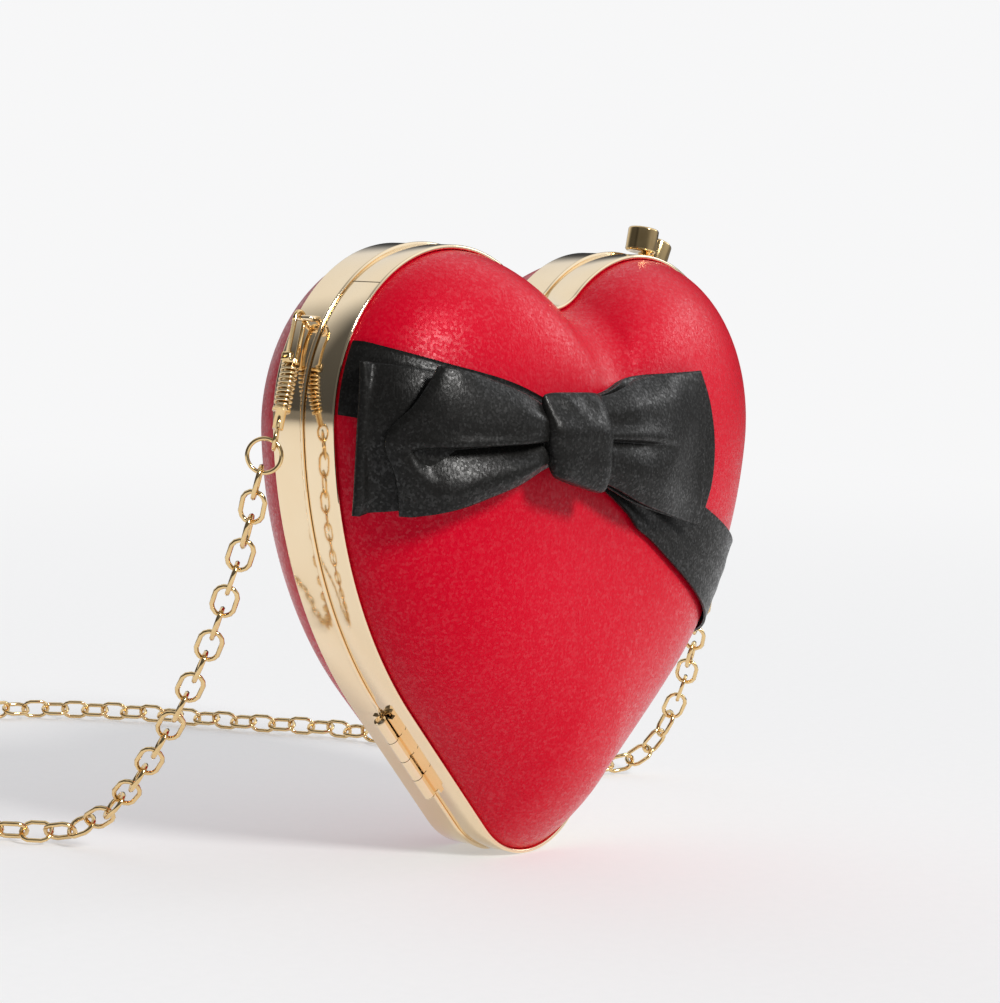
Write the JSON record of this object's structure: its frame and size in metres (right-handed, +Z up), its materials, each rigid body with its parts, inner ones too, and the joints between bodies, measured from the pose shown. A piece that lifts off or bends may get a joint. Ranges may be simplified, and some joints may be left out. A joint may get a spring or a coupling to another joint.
{
  "type": "heart shaped purse",
  "caption": "Heart shaped evening purse in red satin with polished gold frames, a black satin bow and sash, a kiss clasp on top, a side hinge and a detachable link chain.",
  "frame": {"origin": "the bottom tip, on the ground, midway between the two halves of the frame", "axes": "+X to the right as seen from the front, +Y to the back, +Z up; the two halves meet in the plane Y = 0"},
  "size_m": [0.2291, 0.2771, 0.1574],
  "materials": {
    "gold_polished": "polished pale gold plating",
    "gold_pale": "bright pale gold plating",
    "satin_red": "deep red satin",
    "moulded_board": "moulded shell, unseen",
    "lining_black": "short pile lining",
    "satin_black": "black satin with a fine metallic thread"
  },
  "bodies": {
    "back_half": {"back_frame": "gold_polished", "back_shell": "moulded_board", "back_cover": "satin_red", "back_lining": "lining_black", "rear_hinge_leaf": "gold_polished", "hinge_pin": "gold_polished", "rear_knob": "gold_pale", "left_lug": "gold_polished", "right_lug": "gold_polished", "left_hook": "gold_pale", "left_gate_pin": "gold_polished", "left_ferrule": "gold_polished", "left_ring": "gold_pale", "right_hook": "gold_pale", "right_gate_pin": "gold_polished", "right_ferrule": "gold_polished", "right_ring": "gold_pale", "chain_left_drop": "gold_pale", "chain_front_run": "gold_pale", "chain_coil": "gold_pale", "chain_back_run": "gold_pale", "chain_right_drop": "gold_pale"},
    "front_half": {"front_frame": "gold_polished", "front_shell": "moulded_board", "front_cover": "satin_red", "front_lining": "lining_black", "front_hinge_leaf": "gold_polished", "front_knob": "gold_pale", "sash": "satin_black", "bow_rear_layer": "satin_black", "bow_front_layer": "satin_black", "bow_knot": "satin_black"},
    "left_gate_body": {"left_gate": "gold_pale"},
    "right_gate_body": {"right_gate": "gold_pale"}
  },
  "joints": [
    {"name": "lid_open", "type": "hinge", "parent": "back_half", "child": "front_half", "pos_m": [-0.03792, 0, 0.0266], "axis": [0.6913, 0, -0.7225], "range_deg": [0, 100]},
    {"name": "left_gate_swing", "type": "hinge", "parent": "back_half", "child": "left_gate_body", "pos_m": [-0.07967, 0.00373, 0.12331], "axis": [-0.0478, 0.9914, -0.1214], "range_deg": [0, 12], "stiffness_Nm_per_rad": 0.0005, "springref_deg": -14.9},
    {"name": "right_gate_swing", "type": "hinge", "parent": "back_half", "child": "right_gate_body", "pos_m": [0.07967, 0.00373, 0.12331], "axis": [-0.0478, -0.9914, 0.1214], "range_deg": [0, 12], "stiffness_Nm_per_rad": 0.0005, "springref_deg": -14.9}
  ]
}
